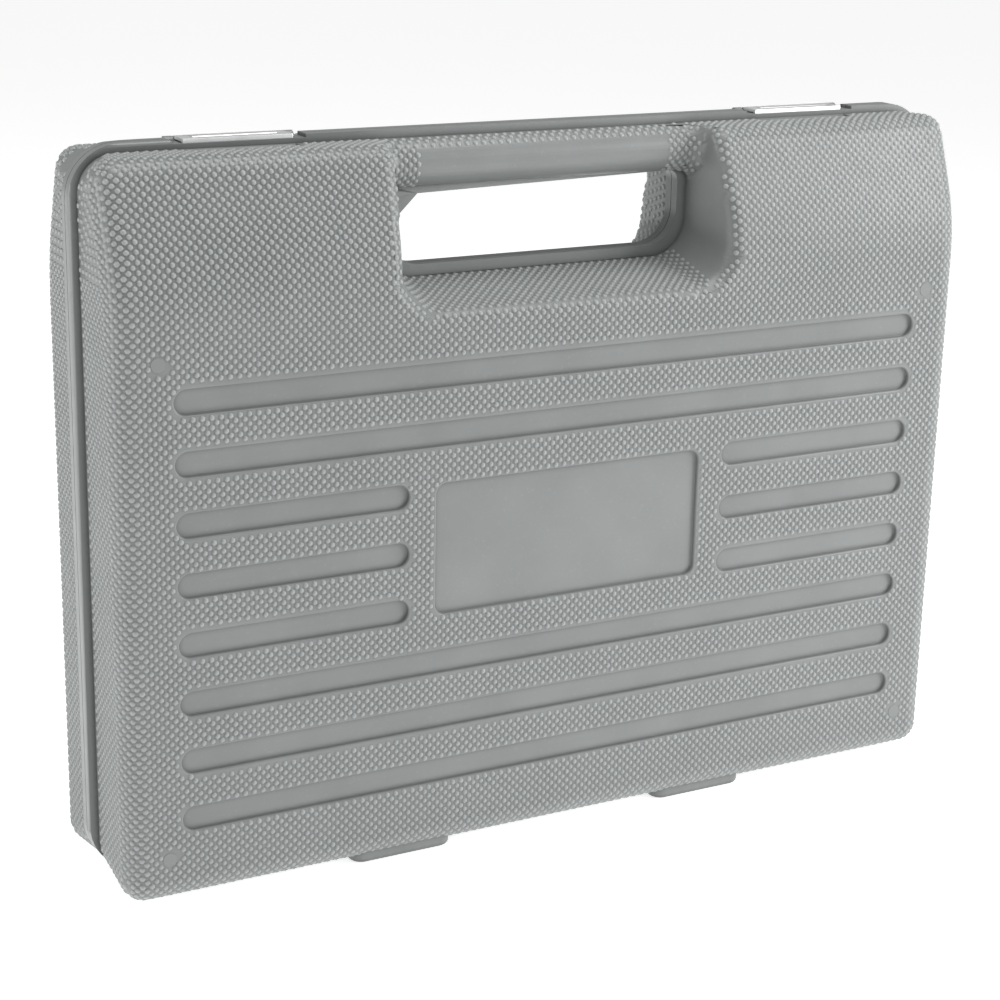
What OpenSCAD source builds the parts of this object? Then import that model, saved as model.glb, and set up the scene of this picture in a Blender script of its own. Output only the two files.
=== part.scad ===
// Socket wrench set in a blow-moulded carrying case, closed and standing on its feet.
// X runs along the handle, Y from the front shell (-Y) to the tool shell (+Y), Z up.
// The two shells meet on the plane y = 0, and the feet stand on z = 0.

/* [Case] */
// Width over the rim of the case
case_w = 346; // [340:1:360]
// Height from the feet to the top of the rim
case_h = 260; // [258:1:262]
// Depth of each half of the case
shell_d = 34.5; // [34:0.1:36]
// Wall thickness of the moulded shells
wall = 3; // [2.6:0.1:3.2]
// How far the rim stands out from the walls
rim_out = 3; // [2:0.1:3]
// Thickness of the rim on each shell
rim_t = 3.8; // [3.6:0.1:4.4]
// Rounding where the walls turn into the faces
edge_r = 8; // [7:0.5:9]
// Rounding of the four corners of the walls
corner_r = 15; // [12:0.5:16]

/* [Grooves] */
// Spacing of the grooves on the faces
groove_pitch = 21; // [20:0.1:22]
// Width of one groove
groove_w = 8.8; // [7:0.1:10]
// Length of a full groove between its end centres
groove_len = 291; // [270:1:294]
// Depth of the grooves and of the label panel
groove_deep = 1.6; // [1:0.1:1.8]
// Height of the top groove above the feet
groove_top_z = 179.7; // [178:0.1:181]
// Width of the label panel
label_w = 108.5; // [90:0.5:112]

/* [Handle] */
// Width of the hand opening
hand_w = 119.4; // [110:0.1:124]
// Height of the bottom edge of the hand opening
hand_z0 = 212.3; // [211:0.1:214]
// Height of the underside of the grip bar
hand_z1 = 240; // [239:0.1:241]
// Reach of the grip bar from the parting plane
bar_d = 12; // [10:0.1:14]

/* [Hinge and latches] */
// Distance of each foot and hinge from the middle
foot_x = 64; // [60:1:68]
// Length of each foot and hinge
foot_w = 40; // [36:1:42]
// Radius of the hinge knuckles
knuckle_r = 3.4; // [3.2:0.1:3.5]
// Radius of the hinge pins
hinge_pin_r = 1.2; // [1:0.1:1.4]
// Distance of each latch from the middle
latch_x = 113.5; // [110:0.5:116]
// Width of each latch
latch_w = 39.5; // [36:0.5:42]

/* [Tools] */
// Side of the square drive
drive = 12.7; // [12.6:0.1:12.7]
// Depth of the tool axes behind the parting plane
tool_y = 8; // [7.5:0.1:8.5]
// Length of the long extension bar and of the sliding bar
bar_len = 250; // [240:1:255]
// Length of the ratchet from the head centre to the grip end
ratchet_len = 230; // [220:1:235]

/* [Hidden] */
$fn = 64;

case_gray = [0.62, 0.63, 0.64];
steel = [0.78, 0.79, 0.8];
dark_steel = [0.45, 0.46, 0.48];
soft_black = [0.12, 0.12, 0.13];

gap = 0.15;              // half of the gap on the parting plane
fit = 0.06;              // radial clearance of pins in their bores
bed = 0.3;               // clearance of a tool in its pocket
cup = 2;                 // wall of a tool pocket
play = 0.1;              // clearance of a square drive on each side
ball_r = 2.35;           // lock balls of the square drives
ball_hole_r = 2.5;
deck_y = 5;              // front of the tool deck
deck_t = 2.5;            // thickness of the tool deck

foot_h = 3;              // height of the feet under the walls
wall_w = case_w - 2 * rim_out;
wall_top = case_h - rim_out;
shoulder_z = 205;        // height at which the faces start to lean back
shoulder_r = 75;         // radius of the start of the shoulder
shoulder_a = 19.3;       // lean of the shoulder
hull_fn = 40;

scoop_x0 = hand_w / 2 + rim_out;
scoop_x1 = scoop_x0 + 3.5;
scoop_z0 = hand_z0 - rim_out;
scoop_z1 = 200.5;

hinge_z = knuckle_r;
relief_r = 1.6;          // rounding of the parting edge along the hinge line
foot_y0 = 10;
foot_y1 = 31;

latch_t = 1.2;
latch_pin_r = 0.9;
latch_pivot_y = 6.5;
latch_pivot_z = case_h - 2;
latch_curl_r = 2;
latch_seat_z = case_h - 1.2;  // top of the rims under the latches
latch_top_z = case_h + 0.2;
lug_w = 3;

// Sockets: [size across flats, outside diameter at the mouth, length]
SOCKETS_LOW = [[32, 43, 44], [30, 41, 44], [27, 37.5, 42], [24, 34, 42], [22, 31, 40],
  [21, 29.5, 40], [19, 26.5, 38], [18, 25.5, 38]];
SOCKETS_MID = [[17, 24.5, 38], [16, 23.5, 38], [15, 22.5, 38], [14, 21, 38], [13, 20, 38],
  [12, 18, 38], [11, 17, 38], [10, 16, 38]];
socket_drive_d = 22;
socket_gap = 4.4;
row_x0 = -150;
row_low_z = 11;
row_mid_z = 60.5;

ratchet_x = -118;
ratchet_z = 123;
head_r = 21.5;
grip_r = 14.5;
gear_r = 14;
gear_teeth = 36;
screw_ring_r = 16.5;
screw_angles = [60, 180, 300];
handle_y = 3.5;

ext_z = 158.5;
bar_z = 185;
corner_z = 227;
cross_x = 109;
joint_z = 80;
joint_r = 12.5;

// ---------- small helpers ----------

module along_x() rotate([0, 90, 0]) children();
module along_y() rotate([-90, 0, 0]) children();

module round_rect(w, h, r)
  union() {
    square([w - 2 * r, h], center = true);
    square([w, h - 2 * r], center = true);
    for (sx = [-1, 1], sy = [-1, 1])
      translate([sx * (w / 2 - r), sy * (h / 2 - r)]) circle(r = r);
  }

// A plate in the XZ plane from y = y0 to y1, with an outline of w by h centred at height zc
module front_plate(w, h, r, zc, y0, y1)
  translate([0, y1, zc]) rotate([90, 0, 0]) linear_extrude(y1 - y0) round_rect(w, h, r);

function sum_to(list, n) = n <= 0 ? 0 : list[n - 1] + sum_to(list, n - 1);
function row_d(s) = max(s[1], socket_drive_d);
function row_x(row, i) =
  row_x0 + sum_to([for (s = row) row_d(s) + socket_gap], i) + row_d(row[i]) / 2;

// ---------- the moulded case ----------

// Solid outline of one half of the case, shrunk by g on every side but the open one
module half_block(g = 0) {
  cx = wall_w / 2 - edge_r;
  cy = shell_d - edge_r;
  ox = wall_w / 2 - corner_r;
  lean_y = shoulder_r * (1 - cos(shoulder_a));
  lean_z = shoulder_z + shoulder_r * sin(shoulder_a);
  top_z = wall_top - edge_r;
  hull() {
    for (sx = [-1, 1]) {
      translate([sx * cx, cy, foot_h + edge_r]) sphere(r = edge_r - g, $fn = hull_fn);
      for (a = [0, 5, 10, 15, shoulder_a])
        translate([sx * cx, cy - shoulder_r * (1 - cos(a)), shoulder_z + shoulder_r * sin(a)])
          sphere(r = edge_r - g, $fn = hull_fn);
      translate([sx * cx, cy - lean_y - tan(shoulder_a) * (top_z - lean_z), top_z])
        sphere(r = edge_r - g, $fn = hull_fn);
      for (z = [foot_h + corner_r, wall_top - corner_r])
        translate([sx * ox, g > 0 ? -1 : gap, z])
          along_y() cylinder(r = corner_r - g, h = 3, $fn = 96);
    }
  }
}

// Funnel in front of the grip bar, open at the top; g makes it larger for its wall
module hand_scoop(g = 0) {
  r = 14 + g;
  hull()
    for (p = [[-1, scoop_x0 + g, scoop_z0 - g], [shell_d + 1, scoop_x1 + g, scoop_z1 - g]],
         sx = [-1, 1]) {
      translate([sx * (p[1] - r), p[0], p[2] + r]) along_y() cylinder(r = r, h = 0.5, $fn = 64);
      translate([sx * (p[1] - 1) - 1, p[0], case_h]) cube([2, 0.5, 10]);
    }
}

// Outline of the hand opening, with wide bottom corners and small top corners
module hand_outline() {
  r0 = 13;
  r1 = 4;
  union() {
    translate([-hand_w / 2, hand_z0 + r0]) square([hand_w, hand_z1 - hand_z0 - r0 - r1]);
    translate([-hand_w / 2 + r0, hand_z0]) square([hand_w - 2 * r0, hand_z1 - hand_z0]);
    translate([-hand_w / 2 + r1, hand_z1 - r1 - 6]) square([hand_w - 2 * r1, r1 + 6]);
    for (sx = [-1, 1]) {
      translate([sx * (hand_w / 2 - r0), hand_z0 + r0]) circle(r = r0);
      translate([sx * (hand_w / 2 - r1), hand_z1 - r1]) circle(r = r1);
    }
  }
}

module hand_hole() translate([0, shell_d + 2, 0]) rotate([90, 0, 0])
  linear_extrude(shell_d + 4) hand_outline();

// Rim along the sides and the top, and round the hand opening
module rim() {
  rim_z0 = foot_h + 0.5;
  rim_h = case_h - rim_z0;
  rim_zc = rim_z0 + rim_h / 2;
  difference() {
    front_plate(case_w, rim_h, corner_r + rim_out, rim_zc, gap, rim_t);
    front_plate(wall_w - 2 * wall, wall_top - foot_h - 2 * wall, corner_r - wall,
      (wall_top + foot_h) / 2, -1, rim_t + 1);
  }
  front_plate(2 * (scoop_x0 + 1), wall_top - scoop_z0, 13, (wall_top + scoop_z0) / 2 - 1, gap, rim_t);
}

// Half of the grip bar
module grip_bar() {
  bar_h = wall_top - hand_z1;
  bar_r = bar_h / 2;
  translate([-scoop_x1 - 1, 0, hand_z1 + bar_r]) rotate([90, 0, 90])
    linear_extrude(2 * scoop_x1 + 2) union() {
      translate([gap, -bar_r]) square([bar_d - bar_r - gap, bar_h]);
      translate([bar_d - bar_r, 0]) intersection() {
        circle(r = bar_r);
        translate([gap - bar_d + bar_r, -bar_r]) square([bar_d, bar_h]);
      }
    }
}

// One groove or, with a larger height, the label panel, cut into a face
module face_pocket(x, z, w, h, r)
  translate([x, shell_d + 1, z]) rotate([90, 0, 0])
    linear_extrude(groove_deep + 1) round_rect(w, h, r);

module full_groove(i)
  face_pocket(0, groove_top_z - i * groove_pitch, groove_len + groove_w, groove_w, groove_w / 2 - 0.01);

module short_grooves(i) {
  inner_x = 64.7;
  outer_x = (groove_len + groove_w) / 2;
  for (sx = [-1, 1])
    face_pocket(sx * (inner_x + outer_x) / 2, groove_top_z - i * groove_pitch,
      outer_x - inner_x, groove_w, groove_w / 2 - 0.01);
}

module feet()
  for (sx = [-1, 1])
    translate([sx * foot_x, (foot_y0 + foot_y1) / 2, 0])
      linear_extrude(foot_h + wall) round_rect(foot_w, foot_y1 - foot_y0, 5);

// Five knuckles to a hinge: the tool shell has three and the front shell has two
function knuckle_len() = foot_w / 5;
module knuckles(picks, r, grow = 0)
  for (sx = [-1, 1], i = picks)
    translate([sx * foot_x - foot_w / 2 + i * knuckle_len() - grow + 0.2, 0, hinge_z])
      along_x() cylinder(r = r, h = knuckle_len() - 0.4 + 2 * grow);

module hinge_bores()
  for (sx = [-1, 1])
    translate([sx * foot_x - foot_w / 2 - 1, 0, hinge_z])
      along_x() cylinder(r = hinge_pin_r + fit, h = foot_w + 2);

// Room on the parting edge for the hinge to turn
module hinge_relief(picks) {
  translate([-case_w / 2, 0, hinge_z]) along_x() cylinder(r = relief_r, h = case_w);
  knuckles(picks, knuckle_r + 0.5, 0.4);
}

// Everything that both shells share, before hollows and pockets
module half_skin() {
  difference() {
    union() {
      half_block();
      feet();
    }
    hand_scoop();
  }
  rim();
  grip_bar();
}

// ---------- pockets for the tools ----------

// Trough along Z or X with straight sides up to the deck; g is its wall
module trough_z(x, z0, z1, r, g = 0) {
  translate([x, tool_y, z0 - g]) cylinder(r = r + g, h = z1 - z0 + 2 * g);
  translate([x - r - g, -1, z0 - g]) cube([2 * (r + g), tool_y + 1, z1 - z0 + 2 * g]);
}

module trough_x(z, x0, x1, r, g = 0, yc = tool_y) {
  translate([x0 - g, yc, z]) along_x() cylinder(r = r + g, h = x1 - x0 + 2 * g);
  translate([x0 - g, -1, z - r - g]) cube([x1 - x0 + 2 * g, yc + 1, 2 * (r + g)]);
}

module socket_pockets(row, z0, g)
  for (i = [0:len(row) - 1])
    trough_z(row_x(row, i), z0 - 0.5, z0 + row[i][2] + 0.5, row_d(row[i]) / 2 + bed, g);

module ratchet_pocket(g) {
  translate([ratchet_x, -1, ratchet_z]) along_y() cylinder(r = head_r + 0.6 + g, h = 17 + g);
  translate([ratchet_x, -1, ratchet_z]) along_y() cylinder(r = 11 + g, h = 1 + 31.2 + (g > 0 ? 1 : 0));
  translate([ratchet_x + 12 - g, -1, ratchet_z - 10.6 - g]) cube([30 + 2 * g, 14.8 + g, 21.2 + 2 * g]);
  trough_x(ratchet_z, ratchet_x, ratchet_x + 118, 9, g, handle_y);
  trough_x(ratchet_z, ratchet_x + 98, ratchet_x + ratchet_len + 1, grip_r + bed, g, handle_y);
}

module joint_pocket(g) {
  trough_x(joint_z, cross_x - 33.5, cross_x + 20, joint_r + 1, g);
  translate([cross_x - 14 - g, -1, joint_z - 7 - g]) cube([18 + 2 * g, 23 + g, 14 + 2 * g]);
  translate([cross_x + 3 - g, -1, joint_z - 17 - g])
    cube([34.5 + 2 * g, tool_y + joint_r + 1.5 + g, 34 + 2 * g]);
}

module tool_pockets(g = 0) {
  socket_pockets(SOCKETS_LOW, row_low_z, g);
  socket_pockets(SOCKETS_MID, row_mid_z, g);
  ratchet_pocket(g);
  joint_pocket(g);
  trough_x(ext_z, -bar_len / 2 - 0.5, -bar_len / 2 + 30, 12 + bed, g);
  trough_x(ext_z, -bar_len / 2 + 20, bar_len / 2 + 0.5, 9.5, g);
  trough_x(bar_z, -bar_len / 2 - 0.5, bar_len / 2 + 0.5, 12.5, g);
  trough_x(corner_z, -153, -87, 13.5 + bed, g);
  trough_x(corner_z, 77.5, 153.5, 12 + bed, g);
}

module base_shell() color(case_gray)
  difference() {
    union() {
      difference() {
        half_skin();
        difference() {
          half_block(wall);
          hand_scoop(wall);
          translate([-case_w / 2, deck_y, 0]) cube([case_w, deck_t, case_h]);
          intersection() {
            tool_pockets(cup);
            translate([-case_w / 2, deck_y, 0]) cube([case_w, shell_d, case_h]);
          }
        }
        hinge_relief([1, 3]);
        latch_seats();
      }
      knuckles([0, 2, 4], knuckle_r);
      latch_lugs();
    }
    tool_pockets();
    hand_hole();
    hinge_bores();
    latch_bores();
    for (i = [0:7]) full_groove(i);
  }

module front_shell() color(case_gray)
  mirror([0, 1, 0]) difference() {
    union() {
      difference() {
        half_skin();
        difference() {
          half_block(wall);
          hand_scoop(wall);
        }
        hinge_relief([0, 2, 4]);
        latch_seats();
        latch_catches();
      }
      knuckles([1, 3], knuckle_r);
    }
    hand_hole();
    hinge_bores();
    for (i = [0, 1, 5, 6, 7]) full_groove(i);
    for (i = [2, 3, 4]) short_grooves(i);
    face_pocket(0, groove_top_z - 3 * groove_pitch, label_w, 48.4, 4);
  }

module hinge_pin(side) color(dark_steel)
  translate([side * foot_x - foot_w / 2 + 0.2, 0, hinge_z])
    along_x() cylinder(r = hinge_pin_r, h = foot_w - 0.4);

// ---------- latches ----------

module latch_lugs()
  for (sx = [-1, 1], s = [-1, 1])
    translate([sx * latch_x + s * (latch_w / 2 + 0.3 + lug_w / 2) - lug_w / 2, 0, 0]) {
      translate([0, latch_pivot_y, latch_pivot_z]) along_x() cylinder(r = 2.1, h = lug_w);
      translate([0, rim_t - 1, wall_top - 2])
        cube([lug_w, latch_pivot_y - rim_t + 3.2, latch_pivot_z - wall_top + 2]);
    }

module latch_bores()
  for (sx = [-1, 1])
    translate([sx * latch_x - latch_w / 2 - lug_w - 1, latch_pivot_y, latch_pivot_z])
      along_x() cylinder(r = latch_pin_r + fit, h = latch_w + 2 * lug_w + 2);

// Seats for the latches in both rims, with room for their curls
module latch_seats() {
  seat_w = latch_w + 2 * lug_w + 2.6;
  for (sx = [-1, 1]) {
    translate([sx * latch_x - seat_w / 2, -1, latch_seat_z]) cube([seat_w, rim_t + 2, 3]);
    translate([sx * latch_x - latch_w / 2 - 0.3, latch_pivot_y, latch_pivot_z])
      along_x() cylinder(r = latch_curl_r + 0.3, h = latch_w + 0.6);
  }
}

// Slots in the rim of the front shell that the latch lips drop into
module latch_catches()
  for (sx = [-1, 1])
    translate([sx * latch_x - latch_w / 2 - 0.4, 1.2, case_h - 3.4])
      cube([latch_w + 0.8, 1.8, 4]);

module latch_plate(side) color(steel)
  translate([side * latch_x - latch_w / 2, 0, 0]) difference() {
    union() {
      translate([0, -2.7, latch_top_z - latch_t]) cube([latch_w, latch_pivot_y + 2.7, latch_t]);
      translate([0, -2.7, latch_top_z - 3.3]) cube([latch_w, latch_t, 3]);
      translate([0, latch_pivot_y, latch_pivot_z]) along_x() cylinder(r = latch_curl_r, h = latch_w);
    }
    translate([-1, latch_pivot_y, latch_pivot_z])
      along_x() cylinder(r = latch_pin_r + fit, h = latch_w + 2);
  }

module latch_pin(side) color(dark_steel)
  translate([side * latch_x - latch_w / 2 - lug_w - 0.2, latch_pivot_y, latch_pivot_z])
    along_x() cylinder(r = latch_pin_r, h = latch_w + 2 * lug_w + 0.4);

// ---------- sockets ----------

// Drive end down; the square hole runs into the hexagon
module socket_shape(size, d, len) {
  hex_r = (size + 0.2) / sqrt(3);
  square_deep = 15;
  hex_deep = len - square_deep - 3;
  dd = socket_drive_d;
  neck = d > dd ? square_deep : len - hex_deep;
  difference() {
    rotate_extrude() polygon([[0, 0], [dd / 2 - 0.8, 0], [dd / 2, 0.8], [dd / 2, neck - 2],
      [d / 2, neck + abs(d - dd) * 0.25 + 0.5], [d / 2, len - 1], [d / 2 - 1, len], [0, len]]);
    translate([-drive / 2 - play, -drive / 2 - play, -1])
      cube([drive + 2 * play, drive + 2 * play, square_deep + 1]);
    cylinder(r = min(6, size * 0.45), h = len);
    translate([0, 0, len - hex_deep]) cylinder(r = hex_r, h = hex_deep + 1, $fn = 6);
    translate([0, 0, len - 1]) cylinder(r1 = hex_r - 0.4, r2 = hex_r + 0.9, h = 1.3);
  }
}

module socket_in_row(row, size, z0)
  for (i = [0:len(row) - 1])
    if (row[i][0] == size)
      color(steel) translate([row_x(row, i), tool_y, z0])
        socket_shape(row[i][0], row[i][1], row[i][2]);

module spark_plug_socket() color(steel)
  translate([-152.5, tool_y, corner_z]) along_x() difference() {
    rotate_extrude() polygon([[0, 0], [10.2, 0], [11, 0.8], [11, 18], [13.5, 22],
      [13.5, 64], [12.5, 65], [0, 65]]);
    translate([-drive / 2 - play, -drive / 2 - play, -1]) cube([drive + 2 * play, drive + 2 * play, 16]);
    cylinder(r = 5, h = 40);
    translate([0, 0, 20]) cylinder(r = 10.2, h = 30);
    translate([0, 0, 49]) cylinder(r = 21.2 / sqrt(3), h = 17, $fn = 6);
  }

// Rubber ring that grips the plug
module spark_plug_grommet() color(soft_black)
  translate([-152.5, tool_y, corner_z]) along_x() translate([0, 0, 24])
    difference() {
      cylinder(r = 10.1, h = 20);
      translate([0, 0, -1]) cylinder(r = 6, h = 22);
    }

// ---------- ratchet ----------

module at_head() translate([ratchet_x, 0, ratchet_z]) children();

module ratchet_body() color(steel) at_head() difference() {
  union() {
    translate([0, -8, 0]) along_y() cylinder(r = head_r, h = 23);
    translate([14, -5, -10]) cube([22, 17, 20]);
    translate([30, handle_y, 0]) along_x() cylinder(r1 = 9.9, r2 = 7.5, h = 22);
    translate([50, handle_y, 0]) along_x() cylinder(r = 7.5, h = 62);
    translate([110, handle_y, 0]) along_x() cylinder(r = 8.5, h = 110);
  }
  translate([0, -4, 0]) along_y() cylinder(r = gear_r + 0.5, h = 20);
  translate([0, 12.5, 0]) along_y() cylinder(r = 18.6, h = 4);
  translate([0, -9, 0]) along_y() cylinder(r = 4.6, h = 8);
  translate([gear_r - 3, -2, -7]) cube([8.2, 13, 14]);
  for (a = screw_angles)
    translate([screw_ring_r * cos(a), 2, screw_ring_r * sin(a)]) along_y() cylinder(r = 0.9, h = 14);
}

module ratchet_grip() color(soft_black) at_head()
  translate([114, handle_y, 0]) along_x() difference() {
    rotate_extrude() polygon([[0, 0], [11, 0], [12.6, 2], [13, 12], [11.6, 26], [13, 44],
      [grip_r, 70], [grip_r, 92], [13.4, 106], [10.5, 112], [0, 115]]);
    translate([0, 0, -1]) cylinder(r = 8.6, h = 107.2);
  }

module ratchet_cover() color(steel) at_head() difference() {
  translate([0, 12.7, 0]) along_y() cylinder(r = 18.4, h = 2.2);
  translate([0, 12, 0]) along_y() cylinder(r = 12.1, h = 4);
  for (a = screw_angles)
    translate([screw_ring_r * cos(a), 12, screw_ring_r * sin(a)]) along_y() cylinder(r = 1, h = 4);
}

module cover_screws() color(dark_steel) at_head()
  for (a = screw_angles)
    translate([screw_ring_r * cos(a), 4, screw_ring_r * sin(a)]) difference() {
      union() {
        along_y() cylinder(r = 0.85, h = 11);
        translate([0, 11, 0]) along_y() cylinder(r = 1.5, h = 0.5);
      }
      translate([-2, 11.25, -0.2]) cube([4, 1, 0.4]);
    }

// Ratchet wheel outline with grow added to its teeth
function wheel_points(grow) = [for (i = [0:2 * gear_teeth - 1])
  let (r = (i % 2 == 0 ? gear_r : gear_r - 1.2) + grow, a = i * 180 / gear_teeth)
  [r * cos(a), r * sin(a)]];

module ratchet_drive_gear() color(steel) at_head() difference() {
  union() {
    translate([0, -3.8, 0]) along_y() linear_extrude(16.3) polygon(wheel_points(0));
    translate([0, 12, 0]) along_y() cylinder(r = 11.9, h = 3);
    translate([-drive / 2, 14, -drive / 2]) cube([drive, 17, drive]);
  }
  translate([0, -4, 0]) along_y() cylinder(r = 2.2, h = 33.5);
  translate([0, 24, 0]) along_x() cylinder(r = ball_hole_r, h = 8);
}

module ratchet_pawl() color(dark_steel) at_head() difference() {
  translate([gear_r - 1.6, -1.6, -5]) cube([6.2, 11, 10]);
  translate([0, -5, 0]) along_y() linear_extrude(20) polygon(wheel_points(0.15));
}

module ratchet_reversing_lever() color(dark_steel) at_head() difference() {
  union() {
    translate([0, -11.4, 0]) along_y() cylinder(r = 9.5, h = 3.2);
    translate([0, -11.4, -3.5]) cube([17, 3.2, 7]);
    translate([14.5, -13.2, -3.5]) cube([2.5, 5, 7]);
  }
  translate([0, -13, 0]) along_y() cylinder(r = 4.75, h = 8);
}

module ratchet_release_button() color(dark_steel) at_head()
  translate([0, -14.5, 0]) along_y()
    rotate_extrude() polygon([[0, 0], [3.6, 0], [4.4, 0.8], [4.4, 7.2], [2, 7.2], [2, 33.2],
      [1.1, 34.1], [1.1, 38.5], [1.9, 39.3], [1.9, 40.4], [0, 40.4]]);

module ratchet_lock_ball() color(dark_steel) at_head()
  translate([4.75, 24, 0]) sphere(r = ball_r);

// ---------- extension bars ----------

// Socket end at x0, square end at x0 + len
module extension(x0, len, z) {
  translate([x0, tool_y, z]) difference() {
    union() {
      along_x() rotate_extrude() polygon([[0, 0], [11, 0], [12, 1], [12, 21], [10, 27],
        [6.6, 31], [6.6, len - 22], [8.5, len - 20], [8.5, len - 16], [0, len - 16]]);
      translate([len - 17, -drive / 2, -drive / 2]) cube([17, drive, drive]);
    }
    translate([-1, -drive / 2 - play, -drive / 2 - play]) cube([17, drive + 2 * play, drive + 2 * play]);
    translate([len - 8, 0, 0]) rotate([90, 0, 0]) cylinder(r = ball_hole_r, h = 8);
  }
}

module extension_long() color(steel) extension(-bar_len / 2, bar_len, ext_z);
module extension_short() color(steel) extension(78, 75, corner_z);

module extension_balls() color(dark_steel)
  for (p = [[bar_len / 2 - 8, ext_z], [145, corner_z]])
    translate([p[0], tool_y - 4.8, p[1]]) sphere(r = ball_r);

// ---------- universal joint ----------

module at_cross() translate([cross_x, tool_y, joint_z]) children();
ear_in = 7;
ear_out = 11.5;
cross_pin_r = 3;

module joint_input_yoke() color(steel) at_cross() difference() {
  intersection() {
    translate([-33, 0, 0]) along_x() cylinder(r = joint_r, h = 40);
    union() {
      translate([-33, -joint_r, -joint_r]) cube([19, 2 * joint_r, 2 * joint_r]);
      for (s = [-1, 1])
        translate([-15, -6, s > 0 ? ear_in : -ear_out]) cube([21.5, 12, ear_out - ear_in]);
    }
  }
  translate([-34, -drive / 2 - play, -drive / 2 - play]) cube([15.5, drive + 2 * play, drive + 2 * play]);
  translate([0, 0, -20]) cylinder(r = cross_pin_r + fit, h = 40);
}

module joint_cross() color(dark_steel) at_cross() {
  translate([-6, -6, -6]) cube(12);
  translate([0, 0, -11.3]) cylinder(r = cross_pin_r, h = 22.6);
  translate([0, -11.3, 0]) along_y() cylinder(r = cross_pin_r, h = 22.6);
}

module joint_output_yoke() color(steel) at_cross() difference() {
  union() {
    intersection() {
      translate([-6.5, 0, 0]) along_x() cylinder(r = joint_r, h = 27);
      union() {
        translate([14, -joint_r, -joint_r]) cube([6, 2 * joint_r, 2 * joint_r]);
        for (s = [-1, 1])
          translate([-6.5, s > 0 ? ear_in : -ear_out, -6]) cube([21.5, ear_out - ear_in, 12]);
      }
    }
    translate([19, -drive / 2, -drive / 2]) cube([17, drive, drive]);
  }
  translate([0, -20, 0]) along_y() cylinder(r = cross_pin_r + fit, h = 40);
  translate([28, 0, 0]) rotate([90, 0, 0]) cylinder(r = ball_hole_r, h = 8);
}

module joint_lock_ball() color(dark_steel) at_cross()
  translate([28, -4.8, 0]) sphere(r = ball_r);

// ---------- sliding bar ----------

module at_bar() translate([0, tool_y, bar_z]) children();

module sliding_bar() color(steel) at_bar() along_x()
  rotate_extrude() polygon([[0, -bar_len / 2], [4.7, -bar_len / 2], [5.5, 0.8 - bar_len / 2],
    [5.5, bar_len / 2 - 0.8], [4.7, bar_len / 2], [0, bar_len / 2]]);

module sliding_head() color(steel) at_bar() difference() {
  union() {
    translate([-19, 0, 0]) along_x() rotate_extrude()
      polygon([[0, 0], [11, 0], [12, 1], [12, 37], [11, 38], [0, 38]]);
    translate([-drive / 2, -26, -drive / 2]) cube([drive, 20, drive]);
  }
  translate([-20, 0, 0]) along_x() cylinder(r = 5.5 + fit, h = 40);
  translate([0, -20, 0]) along_x() cylinder(r = ball_hole_r, h = 8);
}

module sliding_head_ball() color(dark_steel) at_bar()
  translate([4.8, -20, 0]) sphere(r = ball_r);

// ---------- assembly ----------

base_shell();
front_shell();
hinge_pin(-1);  // hinge_pin_left
hinge_pin(1);  // hinge_pin_right
latch_plate(-1);  // latch_plate_left
latch_plate(1);  // latch_plate_right
latch_pin(-1);  // latch_pin_left
latch_pin(1);  // latch_pin_right
ratchet_body();
ratchet_grip();
ratchet_cover();
cover_screws();
ratchet_drive_gear();
ratchet_pawl();
ratchet_reversing_lever();
ratchet_release_button();
ratchet_lock_ball();
for (s = SOCKETS_LOW)
  socket_in_row(SOCKETS_LOW, s[0], row_low_z);
for (s = SOCKETS_MID)
  socket_in_row(SOCKETS_MID, s[0], row_mid_z);
spark_plug_socket();
spark_plug_grommet();
extension_long();
extension_short();
extension_balls();
joint_input_yoke();
joint_cross();
joint_output_yoke();
joint_lock_ball();
sliding_bar();
sliding_head();
sliding_head_ball();
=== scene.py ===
"""Socket wrench set in its moulded carrying case: looks, pieces and stage."""

import math
from itertools import product

import bmesh
import bpy
from bpy.props import FloatProperty, FloatVectorProperty, IntProperty, PointerProperty
from mathutils import Euler, Matrix, Vector
from mathutils.bvhtree import BVHTree


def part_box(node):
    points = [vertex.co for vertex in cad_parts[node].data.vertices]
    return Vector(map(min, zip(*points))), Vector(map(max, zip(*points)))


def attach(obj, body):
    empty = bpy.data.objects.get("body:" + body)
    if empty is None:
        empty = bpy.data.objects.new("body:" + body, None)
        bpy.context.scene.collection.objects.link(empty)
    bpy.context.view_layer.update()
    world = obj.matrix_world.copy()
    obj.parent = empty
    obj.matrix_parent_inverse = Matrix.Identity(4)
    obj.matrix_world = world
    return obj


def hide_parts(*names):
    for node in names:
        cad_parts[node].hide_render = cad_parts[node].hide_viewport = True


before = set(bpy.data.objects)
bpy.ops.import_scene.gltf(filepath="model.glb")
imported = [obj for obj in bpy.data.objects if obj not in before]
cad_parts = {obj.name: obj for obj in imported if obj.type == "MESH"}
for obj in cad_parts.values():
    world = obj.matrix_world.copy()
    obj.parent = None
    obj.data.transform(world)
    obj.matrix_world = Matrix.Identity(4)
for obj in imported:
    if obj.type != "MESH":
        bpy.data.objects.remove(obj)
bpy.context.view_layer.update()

bl_info = {
    "name": "Socket Wrench Case",
    "version": (1, 0, 0),
    "blender": (4, 5, 0),
    "location": "3D View > Sidebar > Wrench Case",
    "description": "Builds a moulded carrying case with its half-inch-drive socket wrench set",
    "category": "Add Mesh",
}

MM = 0.001

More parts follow.
